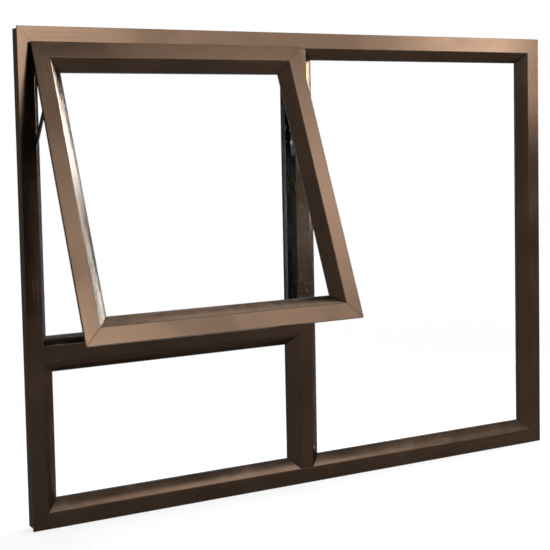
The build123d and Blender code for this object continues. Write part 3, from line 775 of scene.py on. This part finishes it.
def dome(radius, high, crown):
    shape = bmesh.new()
    bmesh.ops.create_cone(shape, cap_ends=True, segments=DOME_SIDES, radius1=radius,
                          radius2=radius, depth=high)
    bmesh.ops.translate(shape, verts=shape.verts, vec=(0, 0, high / 2))
    rim = [e for e in shape.edges if all(v.co.z > high * RIM_ABOVE for v in e.verts)]
    bmesh.ops.bevel(shape, geom=rim, offset=crown, offset_type="OFFSET", segments=CROWN_STEPS,
                    profile=0.5, affect="EDGES", clamp_overlap=True, material=-1)
    return shape


def cross(radius, high):
    shape = bmesh.new()
    for turn in (0.0, math.pi / 2):
        before = len(shape.verts)
        bmesh.ops.create_cube(shape, size=1.0)
        shape.verts.ensure_lookup_table()
        bar = shape.verts[before:]
        bmesh.ops.scale(shape, verts=bar, vec=(radius * CROSS_LONG, radius * CROSS_WIDE, high))
        foot = [v for v in bar if v.co.z < 0]
        bmesh.ops.scale(shape, verts=foot, vec=CROSS_TAPER)
        bmesh.ops.rotate(shape, verts=bar, matrix=Matrix.Rotation(turn, 3, "Z"))
    bmesh.ops.translate(shape, verts=shape.verts, vec=(0, 0, high * CROSS_LIFT))
    return shape


# %% [markdown]
# ## Small fittings: three heads
# The modifier needs two objects in the scene, so they are linked for it and removed after it. A
# pan head stands on its surface, a flush head hardly rises from it, and a rivet has no recess.

# %% Screw and rivet heads


def screw_head(name, radius, high, crown):
    solid = bpy.data.objects.new(name, mesh_from(name, dome(radius, high, crown)))
    cutter = bpy.data.objects.new(name + "_cut", mesh_from(name + "_cut", cross(radius, high)))
    for thing in (solid, cutter):
        bpy.context.collection.objects.link(thing)
    cut = solid.modifiers.new("cut", "BOOLEAN")
    cut.operation = "DIFFERENCE"
    cut.object = cutter
    cut.use_self = True
    shown = solid.evaluated_get(bpy.context.evaluated_depsgraph_get())
    data = bpy.data.meshes.new_from_object(shown)
    for thing in (solid, cutter):
        bpy.data.objects.remove(thing)
    return data


pan_head = screw_head("pan_head", radius=0.0031, high=0.0014, crown=0.0009)
flush_head = screw_head("flush_head", radius=0.0030, high=0.0004, crown=0.0001)
rivet_head = mesh_from("rivet_head", dome(radius=0.0040, high=0.0012, crown=0.0010))
print("pan head faces:", len(pan_head.polygons))

# %% [markdown]
# ## Small fittings: the friction stays
# Each stay's track is screwed to the frame through its channel, its two arms turn on rivets in
# the track, and its plate is screwed to the side of the sash. The places come from the boxes of
# the stays' own nodes; the plate is tilted with the sash, so its screws step down the slope. A
# screwdriver stops at any angle, so each screw has its own turn.

# %% Stay screws and rivets
TRACK_WALL = 0.0012
TRACK_TOP_SCREW = 0.012
TRACK_LOW_SCREWS = (0.030, 0.004)
TRACK_TURN, TRACK_TURN_STEP = 0.4, 30
ARM_FACE = 0.0026
ARM_END = 0.0055
PLATE_SCREW = 0.052
PLATE_TURN, PLATE_TURN_STEP = 0.7, 20
DOWN_SASH = Vector((0.0, -math.sin(OPEN_ANGLE), -math.cos(OPEN_ANGLE)))
INTO_SASH = Vector((0.0, math.cos(OPEN_ANGLE), -math.sin(OPEN_ANGLE)))


def middle(name):
    low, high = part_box(name)
    return Vector([(a + b) / 2 for a, b in zip(low, high)])


def outer_side(name, way):
    low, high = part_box(name)
    return low[0] if way > 0 else high[0]


def track_screws(side, way, between):
    track = f"{side}_stay_track"
    x = outer_side(track, way) + way * TRACK_WALL
    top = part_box(track)[1][2] - TRACK_TOP_SCREW
    return [looking((x, middle(track).y, z), (way, 0, 0), TRACK_TURN + TRACK_TURN_STEP * z)
            for z in (top, *(between + step for step in TRACK_LOW_SCREWS))]


def plate_screws(side, way):
    plate = middle(f"{side}_stay_plate")
    plate.x = outer_side(f"{side}_stay_plate", way)
    return [looking(plate + DOWN_SASH * step, (-way, 0, 0), PLATE_TURN + PLATE_TURN_STEP * step)
            for step in (-PLATE_SCREW, 0.0, PLATE_SCREW)]


for side, way in (("left", 1), ("right", -1)):
    arms = [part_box(f"{side}_stay_{arm}_arm") for arm in ("short", "long")]
    between = (arms[0][0][2] + arms[1][0][2]) / 2
    face = outer_side(f"{side}_stay_long_arm", way) + way * ARM_FACE
    rivets = [looking((face, high[1] - ARM_END, low[2] + ARM_END), (way, 0, 0))
              for low, high in arms]
    heads(f"{side}_track_screws", pan_head, track_screws(side, way, between))
    heads(f"{side}_arm_rivets", rivet_head, rivets)
    heads(f"{side}_plate_screws", flush_head, plate_screws(side, way))

# %% [markdown]
# ## Small fittings: the fastener
# The handle's base has a screw at each end, its lever turns under a domed cap, and the keeper on
# the transom has two flush screws. The handle sits on the tilted bottom rail, so its screws look
# along the sash's own depth, and their place is measured from the hinge down the sash.

# %% Handle and keeper screws
HANDLE_DOWN = 0.513
RAIL_DEEP = 0.0295
BASE_THICK = 0.003
BASE_SCREW, BASE_TURN = 0.0235, 0.3
LEVER_TOP = 0.014
KEEPER_THICK = 0.002
KEEPER_SCREW, KEEPER_TURN = 0.0155, 0.9

foot = Vector(HINGE_EDGE) + DOWN_SASH * HANDLE_DOWN + INTO_SASH * RAIL_DEEP
foot.x = middle("handle_base").x
base_top = foot + INTO_SASH * BASE_THICK
heads("handle_screws", pan_head, [looking(base_top + Vector((off, 0, 0)), INTO_SASH, BASE_TURN)
                                  for off in (-BASE_SCREW, BASE_SCREW)])
heads("lever_cap", rivet_head, [looking(foot + INTO_SASH * LEVER_TOP, INTO_SASH)])

keeper = middle("keeper")
keeper.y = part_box("keeper")[0][1] + KEEPER_THICK
heads("keeper_screws", flush_head, [looking(keeper + Vector((off, 0, 0)), (0, 1, 0), KEEPER_TURN)
                                    for off in (-KEEPER_SCREW, KEEPER_SCREW)])
